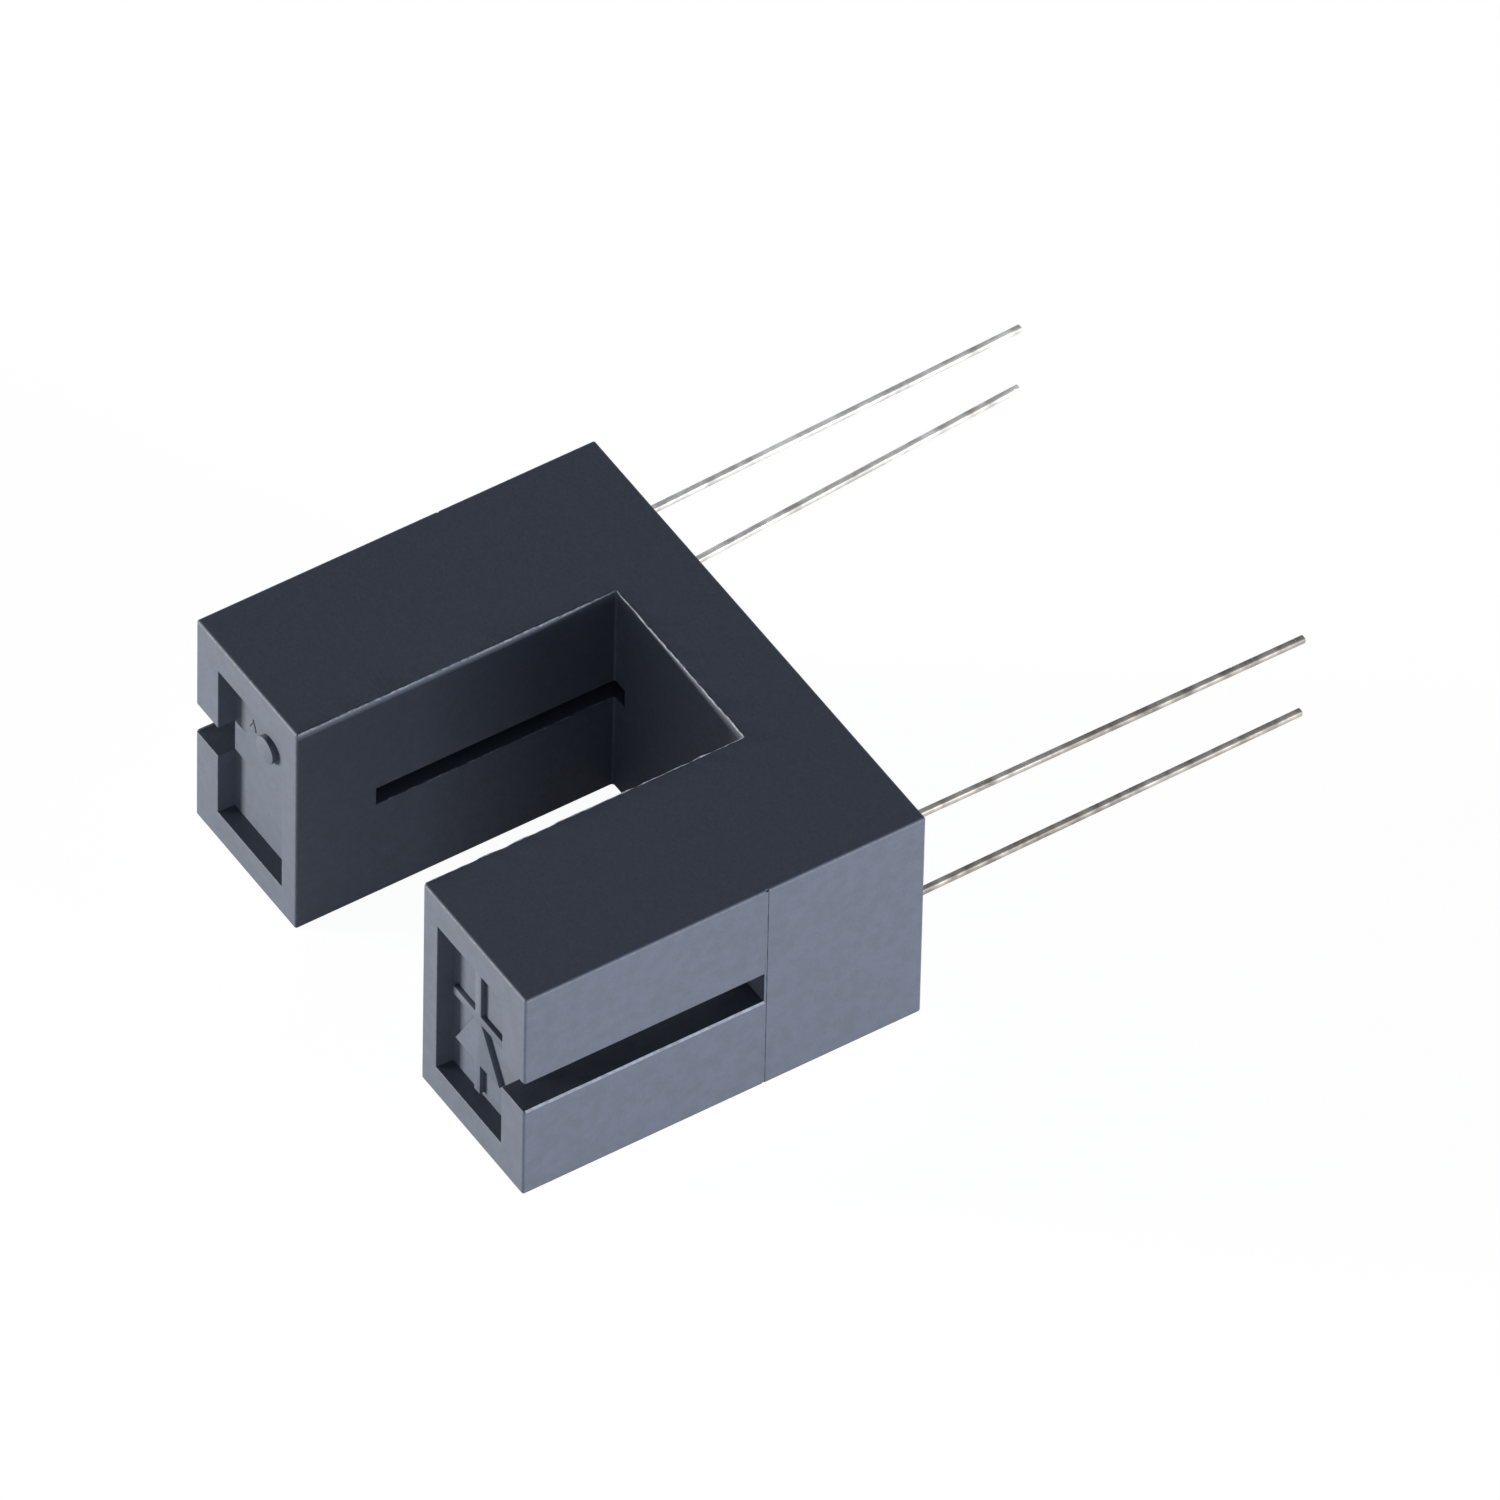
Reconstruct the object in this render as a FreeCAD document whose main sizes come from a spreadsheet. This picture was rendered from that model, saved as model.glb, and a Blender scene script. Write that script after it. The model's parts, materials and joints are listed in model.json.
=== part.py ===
import FreeCAD, Part
import math
import os
import Sketcher

# Slotted optical switch: a moulded U with an infrared emitter in one arm and a phototransistor in
# the other, facing each other across the gap. All lengths are millimetres.
#
# Frame: the origin is the middle of the back face, which seats on the circuit board. +X runs across
# the arms with the emitter arm at +X, +Y leaves the back face along the leads, and +Z runs through
# the thickness. The switch lies flat on its lower face.

# Driving dimensions, one value for each size that can be set by itself
SIZES = {
    # moulded housing
    "gap_width": 5.0,
    "gap_depth": 8.0,
    "arm_width": 4.0,
    "base_web": 2.0,
    "body_height": 6.0,
    "edge_radius": 0.06,
    "mouth_radius": 0.02,
    "witness_width": 0.07,
    "witness_depth": 0.05,
    # walls round the cavity in each arm
    "inner_wall": 0.6,
    "outer_wall": 0.88,
    "flat_wall": 0.8,
    "tip_wall": 0.6,
    # recess in each tip
    "recess_depth": 0.43,
    "recess_inner_rim": 0.57,
    "recess_flat_rim": 0.82,
    # slot in each outer side and aperture slit in each inner side
    "groove_height": 0.87,
    "groove_length": 6.0,
    "slit_height": 0.5,
    "slit_tip_margin": 2.0,
    "slit_wrap": 0.4,
    # epoxy packages in the cavities
    "fit_clearance": 0.05,
    "package_length": 5.7,
    "package_chamfer": 0.6,
    "lens_diameter": 2.0,
    "lens_height": 0.75,
    "lens_setback": 1.75,
    # lead frames
    "lead_pitch": 2.54,
    "lead_width": 0.15,
    "lead_thickness": 0.15,
    "led_lead_setback": 0.59,
    "sensor_lead_setback": 0.24,
    "frame_width": 0.5,
    "die_pad": 1.0,
    "shoulder_cover": 0.6,
    "led_lead_length": 10.6,
    "sensor_lead_length": 10.1,
    "cathode_rise": -0.06,
    "anode_rise": 0.22,
    "collector_rise": 0.66,
    "emitter_rise": 1.35,
    # chips and bond wires
    "led_chip_width": 0.35,
    "led_chip_height": 0.15,
    "sensor_chip_width": 0.6,
    "sensor_chip_height": 0.2,
    "wire_diameter": 0.03,
    "wire_rise": 0.25,
    "wire_bend": 0.1,
    # potting in the mouth of each cavity
    "seal_recess": 0.3,
}

# Expressions on the driving dimensions, for a feature of the +X arm
HALF_GAP = "(Sizes.gap_width / 2)"
HALF_BODY = f"({HALF_GAP} + Sizes.arm_width)"
BODY_LENGTH = "(Sizes.gap_depth + Sizes.base_web)"
HALF_HEIGHT = "(Sizes.body_height / 2)"
CAVITY_INNER = f"({HALF_GAP} + Sizes.inner_wall)"
CAVITY_OUTER = f"({HALF_BODY} - Sizes.outer_wall)"
CAVITY_HALF_HEIGHT = f"({HALF_HEIGHT} - Sizes.flat_wall)"
CAVITY_DEPTH = f"({BODY_LENGTH} - Sizes.recess_depth - Sizes.tip_wall)"
PACKAGE_BACK = f"({CAVITY_OUTER} - Sizes.fit_clearance)"
PACKAGE_DEPTH = (f"({CAVITY_OUTER} - {CAVITY_INNER} - 2 * Sizes.fit_clearance"
                 " - Sizes.lens_height)")
PACKAGE_FACE = f"({PACKAGE_BACK} - {PACKAGE_DEPTH})"
PACKAGE_HALF_WIDTH = f"({CAVITY_HALF_HEIGHT} - Sizes.fit_clearance)"
PACKAGE_TIP = f"(-{CAVITY_DEPTH})"
PACKAGE_FOOT = f"({PACKAGE_TIP} + Sizes.package_length)"
LENS_AXIS = f"({PACKAGE_TIP} + Sizes.lens_setback)"
LEAD_OFFSET = "(Sizes.lead_pitch / 2)"

# An overrun that carries a cutting tool clear of the face that it opens
OVERRUN = 1.0

EMITTER_SIDE = 1
SENSOR_SIDE = -1
UPPER = 1
LOWER = -1


def lead_plane(side):
    """Returns the distance of an arm's lead frame from the middle of the gap, as an expression."""
    arm = "led" if side == EMITTER_SIDE else "sensor"
    return f"({PACKAGE_BACK} - Sizes.{arm}_lead_setback)"


def lead_face(side):
    """Returns the distance of the lead frame's inner face from the middle of the gap."""
    return f"({lead_plane(side)} - Sizes.lead_thickness / 2)"


def make_sheet(doc):
    """Writes the driving dimensions into a spreadsheet, one named cell each."""
    sheet = doc.addObject("Spreadsheet::Sheet", "Sizes")
    sheet.Label = "Sizes"
    for row, (name, value) in enumerate(SIZES.items(), start=1):
        sheet.set(f"A{row}", name)
        sheet.set(f"B{row}", str(value))
        sheet.setAlias(f"B{row}", name)
    doc.recompute()


def origin_plane(body, role):
    """Returns the origin plane of a body that has the given role."""
    for feature in body.Origin.OriginFeatures:
        if feature.Role == role:
            return feature
    raise ValueError(f"{body.Label} has no plane {role}")


def add_body(doc, label):
    """Adds an empty body."""
    body = doc.addObject("PartDesign::Body", label)
    body.Label = label
    return body


def add_sketch(body, name, role, shift_x="0", shift_y="0", lift="0"):
    """Adds a sketch on an origin plane, shifted in the plane and lifted along its normal."""
    sketch = body.newObject("Sketcher::SketchObject", name)
    sketch.AttachmentSupport = [(origin_plane(body, role), "")]
    sketch.MapMode = "FlatFace"
    sketch.setExpression("AttachmentOffset.Base.x", f"({shift_x}) * 1 mm")
    sketch.setExpression("AttachmentOffset.Base.y", f"({shift_y}) * 1 mm")
    sketch.setExpression("AttachmentOffset.Base.z", f"({lift}) * 1 mm")
    return sketch


def place_point(sketch, curve, end, across, along):
    """Ties one end of a curve to two expressions measured from the sketch's origin."""
    point = sketch.getPoint(curve, end)
    ties = (("DistanceX", across, point.x), ("DistanceY", along, point.y))
    for direction, expression, distance in ties:
        index = sketch.addConstraint(Sketcher.Constraint(direction, -1, 1, curve, end, distance))
        sketch.setExpression(f"Constraints[{index}]", f"({expression}) * 1 mm")


def draw_outline(sketch, corners):
    """Draws a closed outline through corners, each a pair of expressions."""
    count = len(corners)
    seats = []
    for index in range(count):
        angle = 2 * math.pi * index / count
        seats.append(FreeCAD.Vector(math.cos(angle), math.sin(angle), 0))
    for index in range(count):
        sketch.addGeometry(Part.LineSegment(seats[index], seats[(index + 1) % count]), False)
    for index in range(count):
        sketch.addConstraint(Sketcher.Constraint("Coincident", index, 2, (index + 1) % count, 1))
    for index, (across, along) in enumerate(corners):
        place_point(sketch, index, 1, across, along)


def draw_path(sketch, corners):
    """Draws an open path through corners, each a pair of expressions."""
    last = len(corners) - 2
    for index in range(last + 1):
        start = FreeCAD.Vector(index, index % 2, 0)
        end = FreeCAD.Vector(index + 1, (index + 1) % 2, 0)
        sketch.addGeometry(Part.LineSegment(start, end), False)
    for index in range(last):
        sketch.addConstraint(Sketcher.Constraint("Coincident", index, 2, index + 1, 1))
    for index in range(last + 1):
        place_point(sketch, index, 1, *corners[index])
    place_point(sketch, last, 2, *corners[last + 1])


def draw_rectangle(sketch, left, right, bottom, top):
    """Draws a rectangle between four expressions."""
    draw_outline(sketch, [(left, bottom), (right, bottom), (right, top), (left, top)])


def add_pad(body, sketch, name, length, midplane=False, backwards=False):
    """Pads a sketch by an expression."""
    pad = body.newObject("PartDesign::Pad", name)
    pad.Profile = sketch
    pad.Midplane = midplane
    pad.Reversed = backwards
    pad.setExpression("Length", f"({length}) * 1 mm")
    return pad


def add_pocket(body, sketch, name, length, midplane=False, backwards=False):
    """Cuts a sketch into the body by an expression."""
    pocket = body.newObject("PartDesign::Pocket", name)
    pocket.Profile = sketch
    pocket.Midplane = midplane
    pocket.Reversed = backwards
    pocket.setExpression("Length", f"({length}) * 1 mm")
    return pocket


def cut_from(doc, label, base, tools):
    """Cuts the tools out of the base as one object that carries the label."""
    fused = doc.addObject("Part::MultiFuse", f"{label}_tools")
    fused.Shapes = tools
    cut = doc.addObject("Part::Cut", label)
    cut.Label = label
    cut.Base = base
    cut.Tool = fused
    return cut


def round_outer_edges(body, base):
    """Rounds every edge of the moulded U."""
    fillet = body.newObject("PartDesign::Fillet", "edge_round")
    names = [f"Edge{index + 1}" for index in range(len(base.Shape.Edges))]
    fillet.Base = (base, names)
    fillet.setExpression("Radius", "Sizes.edge_radius * 1 mm")
    return fillet


def on_mouth(point):
    """Says whether a point lies on the mouth of a recess, a slot or a slit."""
    half_gap = SIZES["gap_width"] / 2
    half_body = half_gap + SIZES["arm_width"]
    half_height = SIZES["body_height"] / 2
    tip = -(SIZES["gap_depth"] + SIZES["base_web"])
    across = abs(point.x)
    level = abs(point.z)

    def near(value, target):
        return abs(value - target) < SIZES["mouth_radius"] / 2

    on_tip = near(point.y, tip)
    recess_inner = half_gap + SIZES["recess_inner_rim"]
    recess_outer = half_body - SIZES["outer_wall"]
    recess_level = half_height - SIZES["recess_flat_rim"]
    on_recess_side = (near(across, recess_inner) or near(across, recess_outer)) and level < recess_level
    on_recess_flat = near(level, recess_level) and recess_inner < across < recess_outer
    on_slot = near(level, SIZES["groove_height"] / 2) and across > recess_outer
    in_recess = point.y < tip + SIZES["recess_depth"]
    on_corner = near(across, recess_outer) and near(level, SIZES["groove_height"] / 2) and in_recess
    on_slot_side = on_slot and near(across, half_body) and point.y < tip + SIZES["groove_length"]
    on_slit = near(level, SIZES["slit_height"] / 2) and near(across, half_gap)
    return on_tip and (on_recess_side or on_recess_flat or on_slot) or on_corner or on_slot_side or on_slit


def round_mouths(body, base):
    """Rounds the edges at which the recesses, slots and slits open."""
    names = []
    for index, edge in enumerate(base.Shape.Edges):
        middle = edge.valueAt((edge.FirstParameter + edge.LastParameter) / 2)
        if on_mouth(middle):
            names.append(f"Edge{index + 1}")
    fillet = body.newObject("PartDesign::Fillet", "mouth_round")
    fillet.Base = (base, names)
    fillet.setExpression("Radius", "Sizes.mouth_radius * 1 mm")
    return fillet


def make_housing(doc):
    """Makes the moulded U, with the features of the +X arm mirrored to the other arm."""
    body = add_body(doc, "housing")
    profile = add_sketch(body, "u_profile", "XY_Plane")
    draw_outline(profile, [
        (f"-{HALF_BODY}", "0"),
        (f"-{HALF_BODY}", f"-{BODY_LENGTH}"),
        (f"-{HALF_GAP}", f"-{BODY_LENGTH}"),
        (f"-{HALF_GAP}", "-Sizes.base_web"),
        (HALF_GAP, "-Sizes.base_web"),
        (HALF_GAP, f"-{BODY_LENGTH}"),
        (HALF_BODY, f"-{BODY_LENGTH}"),
        (HALF_BODY, "0"),
    ])
    block = add_pad(body, profile, "u_block", "Sizes.body_height", midplane=True)
    doc.recompute()
    round_outer_edges(body, block)

    # Witness line that the mould insert leaves over the full height at the slot's end
    witness = add_sketch(body, "witness_sketch", "XY_Plane")
    slot_end = f"-{BODY_LENGTH} + Sizes.groove_length"
    draw_rectangle(witness, f"{HALF_BODY} - Sizes.witness_depth", f"{HALF_BODY} + {OVERRUN}",
                   slot_end, f"{slot_end} + Sizes.witness_width")
    witness_cut = add_pocket(body, witness, "witness_cut", f"Sizes.body_height + {OVERRUN}", midplane=True)

    # Cavity that takes the epoxy package from the back face
    cavity = add_sketch(body, "cavity_sketch", "XZ_Plane")
    draw_rectangle(cavity, CAVITY_INNER, CAVITY_OUTER, f"-{CAVITY_HALF_HEIGHT}", CAVITY_HALF_HEIGHT)
    cavity_cut = add_pocket(body, cavity, "cavity_cut", CAVITY_DEPTH, backwards=True)

    # Recess in the tip, whose outer rim is as thick as the outer wall
    recess = add_sketch(body, "recess_sketch", "XZ_Plane", lift=BODY_LENGTH)
    draw_rectangle(recess, f"{HALF_GAP} + Sizes.recess_inner_rim", CAVITY_OUTER,
                   f"-({HALF_HEIGHT} - Sizes.recess_flat_rim)", f"{HALF_HEIGHT} - Sizes.recess_flat_rim")
    recess_cut = add_pocket(body, recess, "recess_cut", "Sizes.recess_depth")

    # Slot through the outer wall, open at the tip
    groove = add_sketch(body, "groove_sketch", "XY_Plane")
    draw_rectangle(groove, CAVITY_OUTER, f"{HALF_BODY} + {OVERRUN}",
                   f"-({BODY_LENGTH} + {OVERRUN})", slot_end)
    groove_cut = add_pocket(body, groove, "groove_cut", "Sizes.groove_height", midplane=True)

    # Aperture slit through the inner wall, which wraps onto the floor of the gap
    slit = add_sketch(body, "slit_sketch", "XY_Plane")
    draw_rectangle(slit, f"{HALF_GAP} - Sizes.slit_wrap", f"{CAVITY_INNER}",
                   f"-{BODY_LENGTH} + Sizes.slit_tip_margin", "-(Sizes.base_web - Sizes.slit_wrap)")
    slit_cut = add_pocket(body, slit, "slit_cut", "Sizes.slit_height", midplane=True)

    mirrored = body.newObject("PartDesign::Mirrored", "other_arm")
    mirrored.Originals = [witness_cut, cavity_cut, recess_cut, groove_cut, slit_cut]
    mirrored.MirrorPlane = (origin_plane(body, "YZ_Plane"), [""])
    body.Tip = mirrored
    doc.recompute()
    body.Tip = round_mouths(body, mirrored)
    return body


def make_package_block(doc, label, side):
    """Makes the side-looking epoxy body, chamfered at its tip end, with its lens towards the gap."""
    body = add_body(doc, label)
    outline = add_sketch(body, f"{label}_outline", "YZ_Plane", lift=f"{side} * {PACKAGE_BACK}")
    draw_outline(outline, [
        (PACKAGE_FOOT, f"-{PACKAGE_HALF_WIDTH}"),
        (PACKAGE_FOOT, PACKAGE_HALF_WIDTH),
        (f"{PACKAGE_TIP} + Sizes.package_chamfer", PACKAGE_HALF_WIDTH),
        (PACKAGE_TIP, f"{PACKAGE_HALF_WIDTH} - Sizes.package_chamfer"),
        (PACKAGE_TIP, f"-({PACKAGE_HALF_WIDTH} - Sizes.package_chamfer)"),
        (f"{PACKAGE_TIP} + Sizes.package_chamfer", f"-{PACKAGE_HALF_WIDTH}"),
    ])
    add_pad(body, outline, f"{label}_pad", PACKAGE_DEPTH, backwards=side == EMITTER_SIDE)
    add_lens(body, label, side)
    return body


def add_lens(body, label, side):
    """Turns the lens dome about its own axis on the face of the package."""
    radius = SIZES["lens_diameter"] / 2
    height = SIZES["lens_height"]
    sphere = (radius ** 2 + height ** 2) / (2 * height)
    centre = FreeCAD.Vector(side * (sphere - height), 0, 0)
    top = FreeCAD.Vector(-side * height, 0, 0)
    foot = FreeCAD.Vector(0, radius, 0)
    lean = math.asin(radius / sphere)
    middle = centre + FreeCAD.Vector(-side * math.cos(lean / 2), math.sin(lean / 2), 0) * sphere
    profile = add_sketch(body, f"{label}_lens_profile", "XY_Plane",
                         shift_x=f"{side} * {PACKAGE_FACE}", shift_y=LENS_AXIS)
    profile.addGeometry(Part.LineSegment(top, FreeCAD.Vector(0, 0, 0)), False)
    profile.addGeometry(Part.LineSegment(FreeCAD.Vector(0, 0, 0), foot), False)
    dome = Part.Arc(foot, middle, top)
    profile.addGeometry(dome, False)
    profile.addConstraint(Sketcher.Constraint("Coincident", 0, 2, 1, 1))
    place_point(profile, 0, 1, f"{-side} * Sizes.lens_height", "0")
    place_point(profile, 1, 1, "0", "0")
    place_point(profile, 1, 2, "0", "Sizes.lens_diameter / 2")
    ends = sorted((1, 2), key=lambda end: profile.getPoint(2, end).y)
    profile.addConstraint(Sketcher.Constraint("Coincident", 2, ends[0], 0, 1))
    profile.addConstraint(Sketcher.Constraint("Coincident", 2, ends[1], 1, 2))
    profile.addConstraint(Sketcher.Constraint("PointOnObject", 2, 3, -1))
    lens = body.newObject("PartDesign::Revolution", f"{label}_lens")
    lens.Profile = profile
    lens.ReferenceAxis = (profile, ["H_Axis"])
    lens.Angle = 360
    return lens


def add_frame_pad(body, sketch, name):
    """Gives a stamped lead its thickness."""
    return add_pad(body, sketch, name, "Sizes.lead_thickness", midplane=True)


def leg_corners(level, length, rise):
    """Lists the corners of a leg, which leans from the foot of the package to its free end."""
    axis = f"{level} * {LEAD_OFFSET}"
    shoulder = f"{PACKAGE_FOOT} - Sizes.shoulder_cover"
    return [
        (shoulder, f"{axis} + {level} * Sizes.lead_width / 2"),
        (PACKAGE_FOOT, f"{axis} + {level} * Sizes.lead_width / 2"),
        (length, f"{axis} + {level} * Sizes.lead_width / 2 + {rise}"),
        (length, f"{axis} - {level} * Sizes.lead_width / 2 + {rise}"),
        (PACKAGE_FOOT, f"{axis} - {level} * Sizes.lead_width / 2"),
        (shoulder, f"{axis} - {level} * Sizes.lead_width / 2"),
    ]


def make_pad_lead(doc, label, side, level, length, rise):
    """Makes the stamped lead that carries the chip on its pad behind the lens."""
    body = add_body(doc, label)
    sketch = add_sketch(body, f"{label}_outline", "YZ_Plane", lift=f"{side} * {lead_plane(side)}")
    outer = f"{level} * ({LEAD_OFFSET} + Sizes.frame_width / 2)"
    inner = f"{level} * ({LEAD_OFFSET} - Sizes.frame_width / 2)"
    pad_edge = f"-{level} * Sizes.die_pad / 2"
    shoulder = f"{PACKAGE_FOOT} - Sizes.shoulder_cover"
    draw_outline(sketch, [
        (f"{LENS_AXIS} - Sizes.die_pad / 2", pad_edge),
        (f"{LENS_AXIS} - Sizes.die_pad / 2", outer),
        (shoulder, outer),
    ] + leg_corners(level, length, rise) + [
        (shoulder, inner),
        (f"{LENS_AXIS} + Sizes.die_pad / 2", inner),
        (f"{LENS_AXIS} + Sizes.die_pad / 2", pad_edge),
    ])
    add_frame_pad(body, sketch, f"{label}_sheet")
    return body


def make_post_lead(doc, label, side, level, length, rise):
    """Makes the stamped lead that takes the bond wire on its broad head."""
    body = add_body(doc, label)
    sketch = add_sketch(body, f"{label}_outline", "YZ_Plane", lift=f"{side} * {lead_plane(side)}")
    outer = f"{level} * ({LEAD_OFFSET} + Sizes.frame_width / 2)"
    inner = f"{level} * ({LEAD_OFFSET} - Sizes.frame_width / 2)"
    shoulder = f"{PACKAGE_FOOT} - Sizes.shoulder_cover"
    draw_outline(sketch, [
        (f"{LENS_AXIS} - Sizes.die_pad / 2", inner),
        (f"{LENS_AXIS} - Sizes.die_pad / 2", outer),
        (shoulder, outer),
    ] + leg_corners(level, length, rise) + [
        (shoulder, inner),
    ])
    add_frame_pad(body, sketch, f"{label}_sheet")
    return body


def make_chip(doc, label, side, width, height):
    """Makes the chip, flat on the pad of its lead."""
    chip = doc.addObject("Part::Box", label)
    chip.Label = label
    chip.setExpression("Length", f"{height} * 1 mm")
    chip.setExpression("Width", f"{width} * 1 mm")
    chip.setExpression("Height", f"{width} * 1 mm")
    inner_face = f"{lead_face(side)} - {height}" if side == EMITTER_SIDE else f"-{lead_face(side)}"
    chip.setExpression("Placement.Base.x", f"({inner_face}) * 1 mm")
    chip.setExpression("Placement.Base.y", f"({LENS_AXIS} - {width} / 2) * 1 mm")
    chip.setExpression("Placement.Base.z", f"(-{width} / 2) * 1 mm")
    return chip


def make_wire(doc, label, side, level, chip_height):
    """Makes the bond wire, which rises from the chip, runs across and drops to the post lead."""
    body = add_body(doc, label)
    # Local frame: the origin is where the wire meets the chip, -side along X is away from the lead
    path = add_sketch(body, f"{label}_path", "XZ_Plane",
                      shift_x=f"{side} * ({lead_face(side)} - Sizes.{chip_height})",
                      lift=f"-{LENS_AXIS}")
    crest = f"{-side} * Sizes.wire_rise"
    bend = f"{-side} * (Sizes.wire_rise - Sizes.wire_bend)"
    draw_path(path, [
        ("0", "0"),
        (bend, "0"),
        (crest, f"{level} * Sizes.wire_bend"),
        (crest, f"{level} * ({LEAD_OFFSET} - Sizes.wire_bend)"),
        (bend, f"{level} * {LEAD_OFFSET}"),
        (f"{side} * Sizes.{chip_height}", f"{level} * {LEAD_OFFSET}"),
    ])
    section = add_sketch(body, f"{label}_section", "YZ_Plane",
                         shift_x=LENS_AXIS,
                         lift=f"{side} * ({lead_face(side)} - Sizes.{chip_height})")
    circle = Part.Circle(FreeCAD.Vector(0, 0, 0), FreeCAD.Vector(0, 0, 1), SIZES["wire_diameter"] / 2)
    section.addGeometry(circle, False)
    section.addConstraint(Sketcher.Constraint("Coincident", 0, 3, -1, 1))
    index = section.addConstraint(Sketcher.Constraint("Diameter", 0, SIZES["wire_diameter"]))
    section.setExpression(f"Constraints[{index}]", "Sizes.wire_diameter * 1 mm")
    wire = body.newObject("PartDesign::AdditivePipe", f"{label}_sweep")
    wire.Profile = section
    wire.Spine = path
    wire.Transition = "Right corner"
    return body


def make_seal_block(doc, label, side):
    """Makes the potting that fills the cavity from the package to just below the back face."""
    block = doc.addObject("Part::Box", label)
    block.Label = label
    block.setExpression("Length", f"({CAVITY_OUTER} - {CAVITY_INNER}) * 1 mm")
    block.setExpression("Width", f"(-Sizes.seal_recess - {PACKAGE_FOOT}) * 1 mm")
    block.setExpression("Height", f"2 * {CAVITY_HALF_HEIGHT} * 1 mm")
    inner_face = CAVITY_INNER if side == EMITTER_SIDE else f"-{CAVITY_OUTER}"
    block.setExpression("Placement.Base.x", f"({inner_face}) * 1 mm")
    block.setExpression("Placement.Base.y", f"{PACKAGE_FOOT} * 1 mm")
    block.setExpression("Placement.Base.z", f"-{CAVITY_HALF_HEIGHT} * 1 mm")
    return block


def make_arm(doc, prefix, side, pad_lead, post_lead, chip_sizes):
    """Makes what one arm holds: two leads, the chip and its wire, the epoxy package and the potting."""
    pad_name, pad_length, pad_rise = pad_lead
    post_name, post_length, post_rise = post_lead
    chip_width, chip_height = chip_sizes
    carrier = make_pad_lead(doc, f"{prefix}_{pad_name}_lead", side, UPPER, pad_length, pad_rise)
    post = make_post_lead(doc, f"{prefix}_{post_name}_lead", side, LOWER, post_length, post_rise)
    chip = make_chip(doc, f"{prefix}_chip", side, f"Sizes.{chip_width}", f"Sizes.{chip_height}")
    wire = make_wire(doc, f"{prefix}_bond_wire", side, LOWER, chip_height)
    block = make_package_block(doc, f"{prefix}_block", side)
    package = cut_from(doc, f"{prefix}_package", block, [carrier, post, chip, wire])
    filling = make_seal_block(doc, f"{prefix}_filling", side)
    seal = cut_from(doc, f"{prefix}_seal", filling, [carrier, post])
    return [carrier, post, chip, wire, package, seal]


def check_document(doc):
    """Stops if any object of the document failed to compute."""
    for item in doc.Objects:
        if "Invalid" in item.State or "Error" in item.State:
            raise RuntimeError(f"{item.Label} did not compute: {item.State}")


def write_parts(pieces):
    """Checks each sub-part's shape and writes it to its own file."""
    for piece in pieces:
        shape = piece.Shape
        if shape.isNull() or not shape.isValid() or len(shape.Solids) != 1:
            raise RuntimeError(f"{piece.Label} has no sound solid")
    os.makedirs("parts", exist_ok=True)
    for piece in pieces:
        piece.Shape.exportStep(os.path.join("parts", f"{piece.Label}.step"))
        print(f"{piece.Label}: {piece.Shape.Volume:.4f} cubic millimetres")


def main():
    """Builds the switch and writes its sub-parts."""
    doc = FreeCAD.newDocument("slotted_optical_switch")
    make_sheet(doc)
    pieces = [make_housing(doc)]
    pieces += make_arm(
        doc, "led", EMITTER_SIDE,
        ("cathode", "Sizes.led_lead_length", "Sizes.cathode_rise"),
        ("anode", "Sizes.led_lead_length", "Sizes.anode_rise"),
        ("led_chip_width", "led_chip_height"),
    )
    pieces += make_arm(
        doc, "phototransistor", SENSOR_SIDE,
        ("collector", "Sizes.sensor_lead_length", "Sizes.collector_rise"),
        ("emitter", "Sizes.sensor_lead_length", "Sizes.emitter_rise"),
        ("sensor_chip_width", "sensor_chip_height"),
    )
    doc.recompute()
    check_document(doc)
    write_parts(pieces)


main()
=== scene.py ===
"""Dresses the slotted optical switch and sets it on a white table, seen as in the photograph.

The solids are the frame and keep their place. This script adds the raised signs in the two tip
recesses, the flash along the edges of the mould, the fill of the witness grooves, the crept skin of the
potting and the plated leads, and gives every piece a procedural finish. Lengths in the classes are
millimetres, and the scene is metres.
"""

import json
import logging
import math
from dataclasses import dataclass, field
from enum import Enum
from typing import Optional, Sequence, Union

import bpy
from mathutils import Matrix, Vector, noise

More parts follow.
